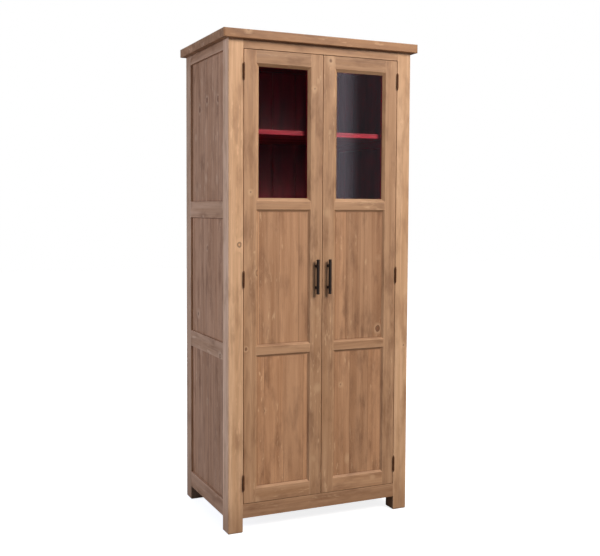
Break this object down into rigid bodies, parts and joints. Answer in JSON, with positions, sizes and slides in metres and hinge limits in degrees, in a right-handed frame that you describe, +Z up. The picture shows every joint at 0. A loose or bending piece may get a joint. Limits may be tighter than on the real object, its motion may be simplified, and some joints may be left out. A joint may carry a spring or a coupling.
{
  "type": "pantry cabinet",
  "caption": "Tall pine pantry cabinet with two inset doors, glazed above and panelled below, shelves inside a red-painted interior, on square corner-post feet.",
  "frame": {"origin": "bottom centre of the box around the closed cabinet, on the floor", "axes": "+X to the right, -Y out of the front (the doors), +Z up"},
  "size_m": [0.83, 0.5436, 1.9],
  "materials": {
    "pine_frame": "waxed mid-brown pine with knots, satin",
    "pine_panel": "waxed mid-brown pine, vertical grain, satin",
    "pine_top": "waxed mid-brown pine boards, satin",
    "red_painted_pine": "crimson eggshell paint, brushed on",
    "glass": "clear, polished",
    "black_iron": "black, satin",
    "bronzed_steel": "dark bronze, worn at the knuckles",
    "steel": "zinc plated",
    "catch_plastic": "matt, moulded"
  },
  "bodies": {
    "carcass": {"front_left_post": "pine_frame", "front_right_post": "pine_frame", "rear_left_post": "pine_frame", "rear_right_post": "pine_frame", "front_top_rail": "pine_frame", "front_bottom_rail": "pine_frame", "rear_top_rail": "pine_frame", "rear_bottom_rail": "pine_frame", "left_top_rail": "pine_frame", "left_upper_rail": "pine_frame", "left_lower_rail": "pine_frame", "left_bottom_rail": "pine_frame", "right_top_rail": "pine_frame", "right_upper_rail": "pine_frame", "right_lower_rail": "pine_frame", "right_bottom_rail": "pine_frame", "left_top_panel": "pine_panel", "left_middle_panel": "pine_panel", "left_bottom_panel": "pine_panel", "right_top_panel": "pine_panel", "right_middle_panel": "pine_panel", "right_bottom_panel": "pine_panel", "top_board": "pine_top", "bottom_board": "red_painted_pine", "back_boards": "red_painted_pine", "shelf_1": "red_painted_pine", "shelf_2": "red_painted_pine", "shelf_3": "red_painted_pine", "shelf_4": "red_painted_pine", "shelf_cleats": "red_painted_pine", "catches": "catch_plastic", "frame_hinge_leaves": "bronzed_steel", "hinge_pins": "bronzed_steel", "carcass_screws": "steel"},
    "left_door": {"left_door_hinge_stile": "pine_frame", "left_door_meeting_stile": "pine_frame", "left_door_top_rail": "pine_frame", "left_door_glass_rail": "pine_frame", "left_door_middle_rail": "pine_frame", "left_door_bottom_rail": "pine_frame", "left_door_glass": "glass", "left_door_glazing_beads": "pine_frame", "left_door_upper_panel": "pine_panel", "left_door_lower_panel": "pine_panel", "left_door_handle": "black_iron", "left_door_hinge_leaves": "bronzed_steel", "left_door_fixings": "steel"},
    "right_door": {"right_door_hinge_stile": "pine_frame", "right_door_meeting_stile": "pine_frame", "right_door_top_rail": "pine_frame", "right_door_glass_rail": "pine_frame", "right_door_middle_rail": "pine_frame", "right_door_bottom_rail": "pine_frame", "right_door_glass": "glass", "right_door_glazing_beads": "pine_frame", "right_door_upper_panel": "pine_panel", "right_door_lower_panel": "pine_panel", "right_door_handle": "black_iron", "right_door_hinge_leaves": "bronzed_steel", "right_door_fixings": "steel"}
  },
  "joints": [
    {"name": "left_door_hinge", "type": "hinge", "parent": "carcass", "child": "left_door", "pos_m": [-0.329, -0.2522, 0.971], "axis": [0, 0, -1], "range_deg": [0, 180]},
    {"name": "right_door_hinge", "type": "hinge", "parent": "carcass", "child": "right_door", "pos_m": [0.329, -0.2522, 0.971], "axis": [0, 0, 1], "range_deg": [0, 180]}
  ]
}
